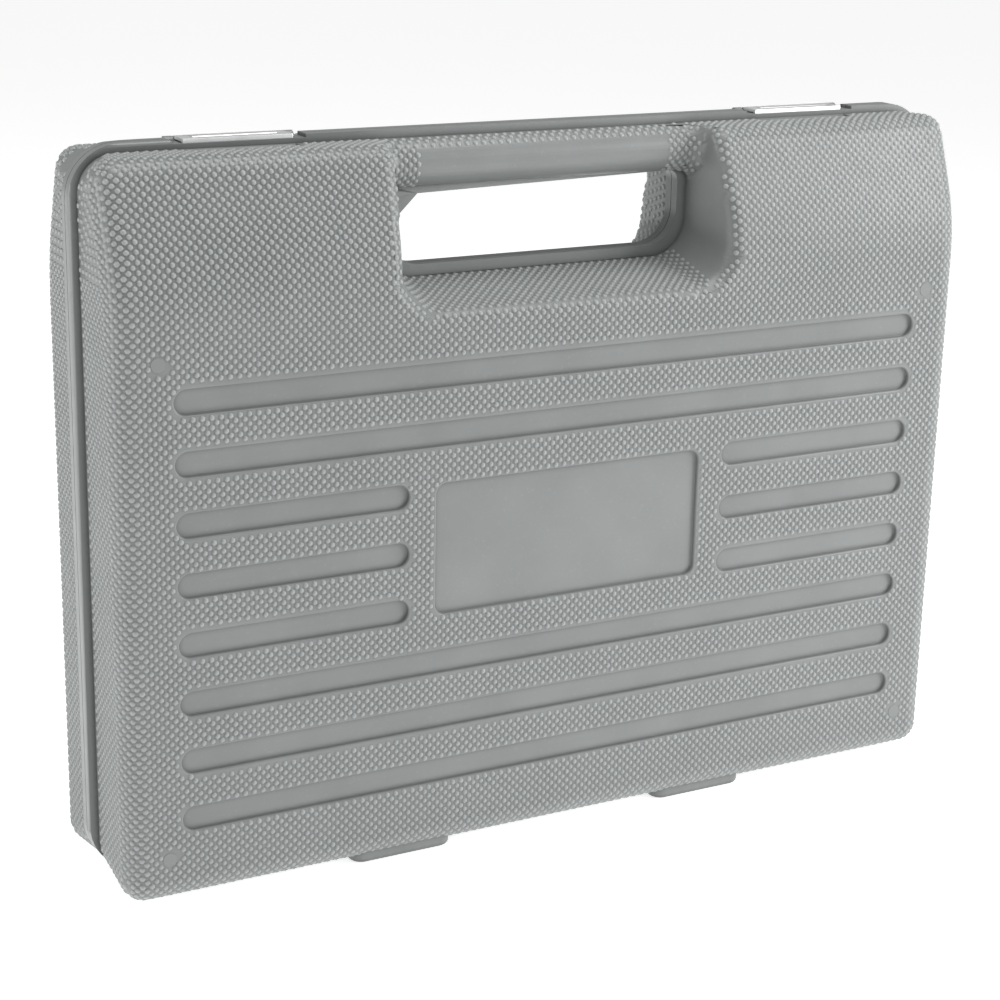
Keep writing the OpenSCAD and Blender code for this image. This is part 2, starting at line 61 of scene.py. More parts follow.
# Sizes of the case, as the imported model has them, in metres
FACE_DEPTH = 34.5 * MM
GROOVE_DEPTH = 32.9 * MM
GROOVES_TOP = 198 * MM
FLAT_HALF = 162.0 * MM
WALL_HALF = 170.0 * MM
BEND = 8.0 * MM
BEND_LOW = 11.0 * MM
CORNER_R = 15.0 * MM
SHOULDER_Z = 205.0 * MM
SHOULDER_R = 75.0 * MM
SHOULDER_LEAN = math.radians(19.3)
TOP_BEND_Z = 249.0 * MM
RIM_DEPTH = 3.8 * MM
RIM_HALF = 172 * MM
RIM_TOP = 259.4 * MM
LATCH_X = 113.5 * MM
LATCH_REACH = 27 * MM
SCOOP_X = (62.7 * MM, 66.2 * MM)
SCOOP_Z = (209.3 * MM, 200.5 * MM)
SCOOP_R = 14.0 * MM
BAR_Z = 248.5 * MM
BAR_R = 8.5 * MM
BAR_DEPTH = 12.0 * MM
CROSS = Vector((109.0, 8.0, 80.0)) * MM
HOLLOW_HALF = 78 * MM
HOLLOW_LOW = 193 * MM
HOLLOW_DEPTH = 5 * MM
SPOT_R = 2.75 * MM
SOCKET_KNURL_R = 10.98 * MM
BAR_KNURL_R = 11.98 * MM
JOINT_KNURL_R = 12.48 * MM
SPOTS = [(sx * 155 * MM, z * MM) for sx in (-1, 1) for z in (19, 193)]


class CaseLook(bpy.types.PropertyGroup):
    """Sizes and colours of the moulded case"""

    dot_spacing: FloatProperty(name="Dot Spacing", description="Distance between rows of raised dots",
                               default=3.3 * MM, unit="LENGTH")
    dot_radius: FloatProperty(name="Dot Radius", description="Radius of a raised dot at the wall",
                              default=1.16 * MM, unit="LENGTH")
    dot_height: FloatProperty(name="Dot Height", description="Height of a raised dot over the wall",
                              default=0.54 * MM, unit="LENGTH")
    groove_soft: FloatProperty(name="Groove Rounding", description="Rounding of the rims of the grooves",
                               default=0.7 * MM, unit="LENGTH")
    scoop_soft: FloatProperty(name="Hand Hollow Rounding", description="Rounding round the grip",
                              default=4.2 * MM, unit="LENGTH")
    foot_soft: FloatProperty(name="Foot Rounding", description="Rounding of the lower edges of the feet",
                             default=1.6 * MM, unit="LENGTH")
    rim_soft: FloatProperty(name="Rim Rounding", description="Rounding of the outer edges of the rim",
                            default=1.1 * MM, unit="LENGTH")
    plastic: FloatVectorProperty(name="Plastic", description="Colour of the moulded plastic", size=3,
                                 subtype="COLOR", default=(0.208, 0.219, 0.216), min=0, max=1)
    # Painted highlight: the raised dots get a lighter copy of the plastic, standing in for the light they
    # catch.
    dot_highlight: FloatProperty(name="Painted Dot Highlight", description="How much lighter the raised dots are", default=1.4)


class ToolLook(bpy.types.PropertyGroup):
    """Sizes and colours of the tools"""

    edge_soft: FloatProperty(name="Edge Rounding", description="Rounding of the edges of the steel pieces",
                             default=0.25 * MM, unit="LENGTH")
    knurl_height: FloatProperty(name="Knurl Height", description="How far the knurled bands stand out",
                                default=0.22 * MM, unit="LENGTH")
    knurl_ridges: IntProperty(name="Knurl Ridges", description="Ridges round a knurled band", default=40)
    chrome: FloatVectorProperty(name="Chrome", description="Colour of the plated steel", size=3,
                                subtype="COLOR", default=(0.78, 0.79, 0.8), min=0, max=1)
    rubber: FloatVectorProperty(name="Grip Rubber", description="Colour of the ratchet's grip", size=3,
                                subtype="COLOR", default=(0.02, 0.021, 0.023), min=0, max=1)


class StageLook(bpy.types.PropertyGroup):
    """Floor, light and camera"""

    floor: FloatVectorProperty(name="Floor", description="Colour of the floor", size=3,
                               subtype="COLOR", default=(0.9, 0.9, 0.9), min=0, max=1)
    floor_glow: FloatProperty(name="Floor Glow", description="Light that the floor gives off by itself",
                              default=0.75)
    sky: FloatProperty(name="Surrounding Light", description="Strength of the light from all round",
                       default=0.2)
    lens: FloatProperty(name="Lens", description="Focal length of the camera", default=81.19)


# ---------- finishes ----------

def new_finish(name):
    """A material with its shader and its object coordinates."""
    mat = bpy.data.materials.new(name)
    mat.use_nodes = True
    tree = mat.node_tree
    shader = tree.nodes["Principled BSDF"]
    coords = tree.nodes.new("ShaderNodeTexCoord")
    return mat, tree, shader, coords.outputs["Object"]


def noise(tree, coords, scale, detail=3.0, stretch=None):
    """Noise with a scale per metre, drawn out along an axis where stretch is given."""
    if stretch:
        mapping = tree.nodes.new("ShaderNodeMapping")
        mapping.inputs["Scale"].default_value = stretch
        tree.links.new(coords, mapping.inputs["Vector"])
        coords = mapping.outputs["Vector"]
    node = tree.nodes.new("ShaderNodeTexNoise")
    node.inputs["Scale"].default_value = scale
    node.inputs["Detail"].default_value = detail
    tree.links.new(coords, node.inputs["Vector"])
    return node.outputs["Fac"]


def spread(tree, value, low, high, from_low=0.3, from_high=0.7):
    """A value moved from the middle range of a noise to low..high."""
    node = tree.nodes.new("ShaderNodeMapRange")
    node.inputs["From Min"].default_value = from_low
    node.inputs["From Max"].default_value = from_high
    node.inputs["To Min"].default_value = low
    node.inputs["To Max"].default_value = high
    tree.links.new(value, node.inputs["Value"])
    return node.outputs["Result"]


def tint(tree, value, dark, light):
    """A colour between dark and light."""
    ramp = tree.nodes.new("ShaderNodeValToRGB")
    ramp.color_ramp.elements[0].position = 0.3
    ramp.color_ramp.elements[0].color = (*dark, 1)
    ramp.color_ramp.elements[1].position = 0.7
    ramp.color_ramp.elements[1].color = (*light, 1)
    tree.links.new(value, ramp.inputs["Fac"])
    return ramp.outputs["Color"]


def over(tree, under, top, amount):
    """One colour laid over another."""
    mix = tree.nodes.new("ShaderNodeMix")
    mix.data_type = "RGBA"
    tree.links.new(amount, mix.inputs["Factor"])
    tree.links.new(under, mix.inputs["A"])
    if isinstance(top, tuple):
        mix.inputs["B"].default_value = (*top, 1)
    else:
        tree.links.new(top, mix.inputs["B"])
    return mix.outputs["Result"]


def relief(tree, shader, heights):
    """Fine relief from (height, strength, distance) layers."""
    normal = None
    for height, strength, distance in heights:
        bump = tree.nodes.new("ShaderNodeBump")
        bump.inputs["Strength"].default_value = strength
        bump.inputs["Distance"].default_value = distance
        tree.links.new(height, bump.inputs["Height"])
        if normal:
            tree.links.new(normal, bump.inputs["Normal"])
        normal = bump.outputs["Normal"]
    tree.links.new(normal, shader.inputs["Normal"])


def edge_wear_and_highlight(tree):
    """How sharply the surface turns at a spot: lighter there for edge wear, and on the tops of the raised
    dots as a painted highlight.
    """
    geometry = tree.nodes.new("ShaderNodeNewGeometry")
    return spread(tree, geometry.outputs["Pointiness"], 0, 1, 0.52, 0.62)


def painted_gap_shade(tree, distance):
    """Painted shade from ambient occlusion: how deep a spot lies between its neighbours, from 0 in the open
    to 1 in a gap.
    """
    shade = tree.nodes.new("ShaderNodeAmbientOcclusion")
    shade.samples = 6
    shade.inputs["Distance"].default_value = distance
    return spread(tree, shade.outputs["AO"], 1, 0, 0.5, 0.97)


def scaled(colour, factor):
    """A colour made lighter or darker by a factor."""
    return tuple(min(1.0, c * factor) for c in colour)


def moulded_plastic(name, lightness=1.0):
    """Light grey blow-moulded plastic with a faint flow pattern and fine grain, lighter where the surface
    turns sharply (edge wear, and a painted highlight on the dot tops) and darker in the gaps between dots
    (painted shade).
    """
    base = scaled(tuple(bpy.context.scene.case_look.plastic), lightness)
    mat, tree, shader, coords = new_finish(name)
    cloud = noise(tree, coords, 38, 5)
    colour = tint(tree, cloud, scaled(base, 0.94), scaled(base, 1.06))
    specks = spread(tree, noise(tree, coords, 900, 2), 0, 0.35, 0.62, 0.78)
    colour = over(tree, colour, scaled(base, 1.35), specks)
    # Lighter where the surface turns sharply: edge wear on the rims, painted highlight on the tops of the
    # raised dots.
    colour = over(tree, colour, scaled(base, 1.16), spread(tree, edge_wear_and_highlight(tree), 0, 0.5, 0, 1))
    # Painted shade: the gaps between the raised dots and other close recesses are darkened where shade falls.
    colour = over(tree, colour, scaled(base, 0.6), painted_gap_shade(tree, 2.2 * MM))
    tree.links.new(colour, shader.inputs["Base Color"])
    rough = noise(tree, coords, 150, 6)
    tree.links.new(spread(tree, rough, 0.3, 0.4), shader.inputs["Roughness"])
    shader.inputs["Specular IOR Level"].default_value = 0.5
    relief(tree, shader, [(noise(tree, coords, 1500, 2), 0.12, 0.0001),
                          (noise(tree, coords, 120, 3, (1, 1, 0.5)), 0.08, 0.0006)])
    return mat


def plated_steel(name, base, rough, stretch, grain):
    """Plated steel with polishing lines, finger haze and lighter worn edges."""
    mat, tree, shader, coords = new_finish(name)
    haze = noise(tree, coords, 60, 4)
    colour = tint(tree, haze, scaled(base, 0.86), scaled(base, 1.04))
    colour = over(tree, colour, scaled(base, 1.2), spread(tree, edge_wear_and_highlight(tree), 0, 0.6, 0, 1))
    tree.links.new(colour, shader.inputs["Base Color"])
    shader.inputs["Metallic"].default_value = 1.0
    lines = noise(tree, coords, 700, 4, stretch)
    rough_lines = tree.nodes.new("ShaderNodeMath")
    rough_lines.operation = "ADD"
    tree.links.new(spread(tree, lines, rough[0] * 0.6, rough[1] * 0.6), rough_lines.inputs[0])
    tree.links.new(spread(tree, haze, rough[0] * 0.4, rough[1] * 0.4), rough_lines.inputs[1])
    tree.links.new(rough_lines.outputs["Value"], shader.inputs["Roughness"])
    relief(tree, shader, [(lines, grain, 0.0001)])
    return mat


def grip_rubber(name):
    """Black rubber, dusty in patches and a little shiny where it is held."""
    base = tuple(bpy.context.scene.tool_look.rubber)
    mat, tree, shader, coords = new_finish(name)
    dust = noise(tree, coords, 90, 6)
    colour = tint(tree, dust, base, scaled(base, 1.9))
    colour = over(tree, colour, scaled(base, 3.2), spread(tree, edge_wear_and_highlight(tree), 0, 0.4, 0, 1))
    tree.links.new(colour, shader.inputs["Base Color"])
    tree.links.new(spread(tree, dust, 0.55, 0.8), shader.inputs["Roughness"])
    relief(tree, shader, [(noise(tree, coords, 1400, 2), 0.3, 0.0001)])
    return mat


FINISHES = {}

# Steels: material name, colour, roughness, stretch of the polishing lines, their height
STEELS = {
    "latch_steel": ("bright_latch_steel", (0.93, 0.935, 0.94), (0.4, 0.56), (0.03, 1, 1), 0.1),
    "pin_steel": ("drawn_pin_steel", (0.5, 0.51, 0.52), (0.3, 0.45), (0.05, 1, 1), 0.1),
    "machined_steel": ("machined_steel", (0.4, 0.41, 0.42), (0.3, 0.5), (1, 0.08, 1), 0.15),
    "control_steel": ("satin_control_steel", (0.55, 0.56, 0.58), (0.25, 0.4), (1, 1, 1), 0.08),
    "ball_steel": ("polished_ball_steel", (0.7, 0.71, 0.73), (0.06, 0.14), (1, 1, 1), 0.02),
}


def finish(name):
    """The finish of that name, made once."""
    if name not in FINISHES:
        scene = bpy.context.scene
        if name in STEELS:
            FINISHES[name] = plated_steel(*STEELS[name])
        elif name == "tool_chrome":
            FINISHES[name] = plated_steel("satin_chrome", tuple(scene.tool_look.chrome),
                                          (0.1, 0.24), (1, 1, 1), 0.04)
        elif name == "case_plastic":
            FINISHES[name] = moulded_plastic("moulded_grey_plastic")
        # Painted highlight: a lighter copy of the plastic for the raised dots.
        elif name == "rubbed_dots":
            FINISHES[name] = moulded_plastic("rubbed_grey_plastic", scene.case_look.dot_highlight)
        else:
            FINISHES[name] = grip_rubber(name)
    return FINISHES[name]


# ---------- making and placing pieces ----------

def to_object(bm, name):
    """An object of that name with the mesh in it."""
    mesh = bpy.data.meshes.new(name)
    bm.to_mesh(mesh)
    bm.free()
    piece = bpy.data.objects.new(name, mesh)
    bpy.context.scene.collection.objects.link(piece)
    return piece


def place(piece, body, slot, nodes=()):
    """Gives a piece its finish and its body, and lets it stand for CAD nodes."""
    piece.data.materials.clear()
    piece.data.materials.append(finish(slot))
    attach(piece, body)
    if nodes:
        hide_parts(*nodes)
    return piece


def merged_copy(node):
    """The CAD node's shape with its loose triangles joined and its flat faces whole."""
    bm = bmesh.new()
    bm.from_mesh(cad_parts[node].data)
    bmesh.ops.remove_doubles(bm, verts=bm.verts, dist=2e-6)
    bmesh.ops.dissolve_limit(bm, angle_limit=math.radians(0.4), verts=bm.verts, edges=bm.edges)
    return bm


def soften(bm, edges, width, segments=2):
    """Rounds edges by a width."""
    return bmesh.ops.bevel(bm, geom=edges, offset=width, offset_type="OFFSET", affect="EDGES",
                           segments=segments, profile=0.5, material=-1, clamp_overlap=False,
                           miter_outer="ARC")


def smooth_shade(bm, angle):
    """Smooth faces, with the edges over the angle kept sharp."""
    for face in bm.faces:
        face.smooth = True
    limit = math.radians(angle)
    for edge in bm.edges:
        edge.smooth = len(edge.link_faces) == 2 and edge.calc_face_angle(0.0) < limit


def even_normals(piece):
    """Keeps large flat faces flat next to their rounded edges."""
    modifier = piece.modifiers.new("even_normals", "WEIGHTED_NORMAL")
    modifier.keep_sharp = True
    modifier.weight = 90
    return piece


def softened_node(node, body, slot, width=None, angle=38):
    """A CAD node with its edges rounded, standing for that node."""
    width = bpy.context.scene.tool_look.edge_soft if width is None else width
    bm = merged_copy(node)
    limit = math.radians(angle)
    sharp = [e for e in bm.edges if len(e.link_faces) == 2 and e.calc_face_angle(0.0) > limit
             and e.calc_length() > 1.5 * width]
    soften(bm, sharp, width)
    smooth_shade(bm, 40)
    piece = even_normals(to_object(bm, node + "_piece"))
    return place(piece, body, slot, [node])


def refinished(node, slot):
    """A CAD node that keeps its shape and gets its finish."""
    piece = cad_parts[node]
    if not piece.material_slots:
        piece.data.materials.append(finish(slot))
    for material_slot in piece.material_slots:
        material_slot.material = finish(slot)
    return piece


def turned(bm, axis, angle):
    """Turns a mesh about an axis through the origin."""
    bmesh.ops.rotate(bm, verts=bm.verts, cent=(0, 0, 0), matrix=Matrix.Rotation(angle, 3, axis))


def moved(bm, offset):
    """Moves a mesh."""
    bmesh.ops.translate(bm, verts=bm.verts, vec=offset)


def lathe(profile, steps):
    """A closed piece of revolution round Z from a loop of (radius, height)."""
    bm = bmesh.new()
    verts = [bm.verts.new((r, 0, z)) for r, z in profile]
    edges = [bm.edges.new(pair) for pair in zip(verts, verts[1:] + verts[:1])
             if pair[0].co.x > 0 or pair[1].co.x > 0]
    bmesh.ops.spin(bm, geom=verts + edges, axis=(0, 0, 1), cent=(0, 0, 0), angle=2 * math.pi,
                   steps=steps, use_merge=True)
    bmesh.ops.remove_doubles(bm, verts=bm.verts, dist=1e-6)
    bmesh.ops.recalc_face_normals(bm, faces=bm.faces)
    return bm


def knurled_ring(radius, inner, z0, z1, ridges, height):
    """A ring round Z whose outside is pulled up into straight ridges."""
    bevel = 0.4 * MM
    outline = [(inner, z0), (radius, z0), (radius, z0 + bevel),
               (radius, z1 - bevel), (radius, z1), (inner, z1)]
    bm = lathe(outline, ridges * 2)
    step = math.pi / ridges
    for v in bm.verts:
        at_ridge = round(math.atan2(v.co.y, v.co.x) / step) % 2 == 0
        inside = z0 + bevel / 2 < v.co.z < z1 - bevel / 2
        if at_ridge and inside and v.co.xy.length > (radius + inner) / 2:
            v.co.xy *= 1 + height / radius
    return bm


def knurled_band(name, body, centre, axis, radius, near, far):
    """A knurled band on a tool, with its axis through centre."""
    look = bpy.context.scene.tool_look
    bm = knurled_ring(radius, radius - 0.6 * MM, near, far, look.knurl_ridges, look.knurl_height)
    if axis == "X":
        turned(bm, "Y", math.pi / 2)
    moved(bm, centre)
    smooth_shade(bm, 20)
    return place(to_object(bm, name), body, "tool_chrome")


# ---------- the case ----------

def is_hand_edge(p, depth):
    """Whether a point lies where the hollow round the grip meets the outside."""
    return abs(p.x) < 71 * MM and p.z > 198 * MM and depth > 4.6 * MM


def skin_depth(z):
    """How far the outside stands from the parting plane at a height, with 12 mm of arc taken off."""
    rise = max(0.0, z - SHOULDER_Z)
    return FACE_DEPTH - math.tan(SHOULDER_LEAN) * max(0.0, rise - 12 * MM)


def is_inner(p, depth):
    """Whether a point lies on the inner face of the wall, outside the hollow."""
    past_hollow = abs(p.x) > SCOOP_X[1] + 1.5 * MM or p.z < SCOOP_Z[1] - 1.5 * MM
    return past_hollow and depth < skin_depth(p.z) - 2 * MM


def refine(bm, inside, longest):
    """Cuts the faces whose middle is inside into small triangles."""
    def touched(corners, middle):
        return inside(middle) or any(inside(v.co) for v in corners)

    for _ in range(8):
        faces = [f for f in bm.faces if touched(f.verts, f.calc_center_median())]
        bmesh.ops.triangulate(bm, faces=faces)
        edges = [e for e in bm.edges if e.calc_length() > longest
                 and touched(e.verts, (e.verts[0].co + e.verts[1].co) / 2)]
        if not edges:
            break
        bmesh.ops.subdivide_edges(bm, edges=edges, cuts=1)


def round_hollow(bm, side, width):
    """Wide soft roundings where the hollow meets the outside and where the grip meets the hollow."""
    def inside(p):
        return abs(p.x) < HOLLOW_HALF and p.z > HOLLOW_LOW and p.y * side > HOLLOW_DEPTH

    def on_ring(v):
        return is_hand_edge(v.co, v.co.y * side) and not is_inner(v.co, v.co.y * side)

    refine(bm, inside, 2.2 * MM)
    bmesh.ops.triangulate(bm, faces=[f for f in bm.faces if len(f.verts) > 4])
    ring = set()
    for e in bm.edges:
        if len(e.link_faces) == 2 and e.calc_face_angle(0.0) > math.radians(24):
            if all(on_ring(v) for v in e.verts):
                ring.update(e.verts)
    rings = [ring]
    for _ in range(round(width / (1.3 * MM))):
        grown = set(rings[-1])
        for v in rings[-1]:
            near = (e.other_vert(v) for e in v.link_edges)
            grown.update(w for w in near if w.co.y * side > HOLLOW_DEPTH)
        rings.append(grown)
    for area in reversed(rings[1:]):
        for _ in range(5):
            bmesh.ops.smooth_vert(bm, verts=list(area), factor=0.5, use_axis_x=True, use_axis_y=True,
                                  use_axis_z=True)


def is_outer_rim(a, b):
    """Whether an edge from a to b runs along the outside of the rim, away from the latches."""
    outer = all(abs(p.x) > RIM_HALF or p.z > RIM_TOP for p in (a, b))
    near_latch = abs(abs(a.x) - LATCH_X) < LATCH_REACH and a.z > 250 * MM
    return outer and not near_latch and a.z > 22 * MM


def shell_mesh(node, side):
    """A shell with soft grooves, rims and hand hollow. side is -1 for the front shell and 1 for the back."""
    look = bpy.context.scene.case_look
    bm = merged_copy(node)
    face_rim, floor_rim, rims, feet = [], [], [], []
    for e in bm.edges:
        if len(e.link_faces) != 2:
            continue
        if e.calc_face_angle(0.0) <= math.radians(60):
            continue
        a, b = (v.co for v in e.verts)
        depths = [p.y * side for p in (a, b)]
        if min(depths) > FACE_DEPTH - 0.06 * MM and a.z < GROOVES_TOP:
            face_rim.append(e)
        elif all(abs(d - GROOVE_DEPTH) < 0.02 * MM for d in depths) and a.z < GROOVES_TOP:
            floor_rim.append(e)
        elif not e.is_convex:
            continue
        elif max(a.z, b.z) < 0.05 * MM and min(depths) > 9 * MM:
            feet.append(e)
        elif all(abs(d - RIM_DEPTH) < 0.4 * MM for d in depths) and is_outer_rim(a, b):
            rims.append(e)
    soften(bm, face_rim, look.groove_soft, 3)
    soften(bm, [e for e in floor_rim if e.is_valid], look.groove_soft * 0.6, 2)
    soften(bm, [e for e in rims if e.is_valid], look.rim_soft, 3)
    soften(bm, [e for e in feet if e.is_valid], look.foot_soft, 4)
    round_hollow(bm, side, look.scoop_soft)
    smooth_shade(bm, 33)
    return bm


def skin(u, v):
    """Point (x, depth, z) and outward direction of the outer skin at a distance u across and v up."""
    quarter = BEND * math.pi / 2
    depth = FACE_DEPTH - BEND
    flat = SHOULDER_Z - BEND_LOW
    arc = (SHOULDER_R + BEND) * SHOULDER_LEAN
    cos_l, sin_l = math.cos(SHOULDER_LEAN), math.sin(SHOULDER_LEAN)
    z = BEND_LOW + v
    a = 0.0
    if v < 0:
        a, z = max(v / BEND, -math.pi / 2), BEND_LOW
        depth += min(0.0, v + quarter)
    elif v > flat:
        s = v - flat
        a = min(s / (SHOULDER_R + BEND), SHOULDER_LEAN)
        depth -= SHOULDER_R * (1 - math.cos(a))
        z = SHOULDER_Z + SHOULDER_R * math.sin(a)
        if s > arc:
            lean = min((s - arc), (TOP_BEND_Z - z) / cos_l)
            depth -= lean * sin_l
            z += lean * cos_l
            left = s - arc - lean
            if left > 0:
                a = min(SHOULDER_LEAN + left / BEND, math.pi / 2)
                depth -= max(0.0, left - (math.pi / 2 - SHOULDER_LEAN) * BEND)
    out = Vector((0, math.cos(a), math.sin(a)))
    centre = Vector((0, depth, z))
    side = math.copysign(1, u)
    w = abs(u) - FLAT_HALF
    if w <= 0:
        return centre + out * BEND + Vector((u, 0, 0)), out
    turn = min(w / BEND, math.pi / 2)
    out = out * math.cos(turn) + Vector((side * math.sin(turn), 0, 0))
    back = max(0.0, w - quarter)
    return centre + out * BEND + Vector((side * FLAT_HALF, -back, 0)), out


def corner_skin(u, v):
    """Corner columns of the walls: u round the four corners, v from the parting plane."""
    corner, turn = divmod(u / (CORNER_R - 2 * MM), math.pi / 2)
    if not 0 <= corner < 4 or v < 0:
        return None
    sx, sz = ((1, -1), (-1, -1), (-1, 1), (1, 1))[int(corner)]
    side = CORNER_R - BEND
    centre = Vector((sx * (WALL_HALF - CORNER_R), 0, BEND_LOW + side if sz < 0 else TOP_BEND_Z - side))
    out = Vector((sx * math.cos(turn), 0, sz * math.sin(turn)))
    t = min(1.0, max(0.0, (v - 3.15 * MM) / (23.35 * MM)))
    radius = CORNER_R + t * side * (math.cos(turn) + math.sin(turn) - 1)
    return centre + out * radius + Vector((0, v, 0)), out


def scoop_skin(u, v):
    """The hollow round the grip: u along its U shape from the middle of the ramp, v the depth."""
    t = (v + 1 * MM) / (36.5 * MM)
    half = SCOOP_X[0] + (SCOOP_X[1] - SCOOP_X[0]) * t
    low = SCOOP_Z[0] + (SCOOP_Z[1] - SCOOP_Z[0]) * t
    side = math.copysign(1, u)
    run = abs(u)
    flat = half - SCOOP_R
    arc = SCOOP_R * math.pi / 2
    if run < flat:
        return Vector((u, v, low)), Vector((0, 0.235, 0.972))
    if run < flat + arc:
        a = (run - flat) / SCOOP_R
        out = Vector((-side * math.sin(a), 0.15, math.cos(a))).normalized()
        centre = Vector((side * flat, v, low + SCOOP_R))
        return centre + Vector((side * math.sin(a), 0, -math.cos(a))) * SCOOP_R, out
    return Vector((side * half, v, low + SCOOP_R + run - flat - arc)), Vector((-side * 0.995, 0.095, 0))


def bar_skin(u, v):
    """The two ends of the grip bar: u along the bar, v round it."""
    a = math.pi / 2 - v / BAR_R
    if not -math.pi / 2 < a < math.pi / 2 or not 51 * MM < abs(u) < 64 * MM:
        return None
    out = Vector((0, math.cos(a), math.sin(a)))
    return Vector((u, BAR_DEPTH - BAR_R, BAR_Z)) + out * BAR_R, out


class DotSheets:
    """Places dots on one shell, where its skin is whole round each dot and no other dot is too close."""

    ABOVE = 2.5 * MM
    BELOW = 2.6 * MM
    CELL = 3 * MM
    LEAST_GAP = 2.05 * MM
    SMOOTH_R = 3.5 * MM

    def __init__(self, tree, side):
        self.tree = tree
        self.side = side
        self.taken = {}

    def hit(self, point, out):
        """Where the skin is near a point, which way it faces and how far it lies under the point."""
        at, normal, _, distance = self.tree.ray_cast(point + out * self.ABOVE, -out, self.ABOVE + self.BELOW)
        return (at, normal, distance - self.ABOVE) if at else (None, None, 1.0)

    def free(self, p):
        """Takes the place p unless another dot is too close."""
        cell = [math.floor(c / self.CELL) for c in p]
        for shift in product((-1, 0, 1), repeat=3):
            for q in self.taken.get(tuple(c + d for c, d in zip(cell, shift)), ()):
                if (q - p).length < self.LEAST_GAP:
                    return False
        self.taken.setdefault(tuple(cell), []).append(p)
        return True

    def spot_on(self, p, out, radius):
        """The place and direction for a dot at p, or nothing. The rounded hollow is allowed more play."""
        point = Vector((p.x, p.y * self.side, p.z))
        out = Vector((out.x, out.y * self.side, out.z))
        at, normal, gap = self.hit(point, out)
        rounded = abs(p.x) < 80 * MM and p.z > 195 * MM
        play, facing, tolerance = (2.4 * MM, 0.55, 0.5 * MM) if rounded else (0.6 * MM, 0.8, 0.3 * MM)
        if at is None or abs(gap) > play or normal.dot(out) < facing:
            return None
        across = normal.orthogonal().normalized()
        for i in range(6):
            ring = Matrix.Rotation(i * math.pi / 3, 3, normal) @ across
            if abs(self.hit(at + ring * radius, normal)[2]) > tolerance:
                return None
        return at, normal

    def sheet(self, name, mapping, span, centre, limits):
        """A carrier sheet whose points are the dots that fit, within limits of u and v."""
        look = bpy.context.scene.case_look
        step = look.dot_spacing / math.sqrt(2)
        count = int(span / step)
        bm = bmesh.new()
        bmesh.ops.create_grid(bm, x_segments=count, y_segments=count, size=count * step / 2,
                              matrix=Matrix.Translation((*centre, 0)) @ Matrix.Rotation(math.pi / 4, 4, "Z"))
        outward = bm.verts.layers.float_vector.new("outward")
        lost = []
        u0, u1, v0, v1 = limits
        for vert in bm.verts:
            u, v = vert.co.x, vert.co.y
            target = mapping(u, v) if u0 <= u <= u1 and v0 <= v <= v1 else None
            found = self.spot_on(*target, look.dot_radius * 0.95) if target else None
            if found and self.keeps(found[0]) and self.free(found[0]):
                vert.co, vert[outward] = found
            else:
                lost.append(vert)
        bmesh.ops.delete(bm, geom=lost, context="VERTS")
        return to_object(bm, name)

    def keeps(self, p):
        """False on the smooth round spots, on the grip and on the rim."""
        depth = abs(p.y)
        if depth > 34 * MM and any(math.dist((p.x, p.z), spot) < self.SMOOTH_R for spot in SPOTS):
            return False
        return depth > 4.6 * MM or (abs(p.x) < 64 * MM and p.z > 239 * MM and depth > 4.2 * MM)


def dome():
    """One raised dot: a low six-sided dome with its closed foot under the wall."""
    look = bpy.context.scene.case_look
    bm = bmesh.new()
    bmesh.ops.create_uvsphere(bm, u_segments=6, v_segments=4, radius=1)
    below = [v for v in bm.verts if v.co.z < -0.1]
    bmesh.ops.delete(bm, geom=below, context="VERTS")
    bmesh.ops.holes_fill(bm, edges=[e for e in bm.edges if e.is_boundary], sides=0)
    sunk = 0.12 * MM
    bmesh.ops.scale(bm, verts=bm.verts, vec=(look.dot_radius, look.dot_radius, look.dot_height + sunk))
    moved(bm, (0, 0, -sunk))
    bmesh.ops.recalc_face_normals(bm, faces=bm.faces)
    smooth_shade(bm, 70)
    return to_object(bm, "dot_pattern")


def dot_nodes(pattern):
    """Puts the pattern on every point of a carrier, standing along its outward direction."""
    tree = bpy.data.node_groups.new("raised_dots", "GeometryNodeTree")
    tree.interface.new_socket("Geometry", in_out="INPUT", socket_type="NodeSocketGeometry")
    tree.interface.new_socket("Geometry", in_out="OUTPUT", socket_type="NodeSocketGeometry")
    nodes, links = tree.nodes, tree.links
    start, end = nodes.new("NodeGroupInput"), nodes.new("NodeGroupOutput")
    info = nodes.new("GeometryNodeObjectInfo")
    info.inputs["Object"].default_value = pattern
    direction = nodes.new("GeometryNodeInputNamedAttribute")
    direction.data_type = "FLOAT_VECTOR"
    direction.inputs["Name"].default_value = "outward"
    align = nodes.new("FunctionNodeAlignRotationToVector")
    align.axis = "Z"
    size = nodes.new("FunctionNodeRandomValue")
    size.data_type = "FLOAT"
    size.inputs[2].default_value = 0.94
    size.inputs[3].default_value = 1.04
    size.inputs["Seed"].default_value = 7
    put = nodes.new("GeometryNodeInstanceOnPoints")
    real = nodes.new("GeometryNodeRealizeInstances")
    links.new(start.outputs[0], put.inputs["Points"])
    links.new(info.outputs["Geometry"], put.inputs["Instance"])
    links.new(direction.outputs["Attribute"], align.inputs["Vector"])
    links.new(align.outputs["Rotation"], put.inputs["Rotation"])
    links.new(size.outputs[1], put.inputs["Scale"])
    links.new(put.outputs["Instances"], real.inputs["Geometry"])
    links.new(real.outputs["Geometry"], end.inputs[0])
    return tree


def baked_dots(carrier, tree, body):
    """The carrier's dots as one plain mesh."""
    modifier = carrier.modifiers.new("raised_dots", "NODES")
    modifier.node_group = tree
    depsgraph = bpy.context.evaluated_depsgraph_get()
    mesh = bpy.data.meshes.new_from_object(carrier.evaluated_get(depsgraph))
    name = carrier.name
    bpy.data.objects.remove(carrier)
    mesh.name = name + "_dots"
    piece = bpy.data.objects.new(name + "_dots", mesh)
    bpy.context.scene.collection.objects.link(piece)
    place(piece, body, "case_plastic")
    # The dots take the lighter copy of the plastic, a painted highlight.
    piece.data.materials[0] = finish("rubbed_dots")
    return piece


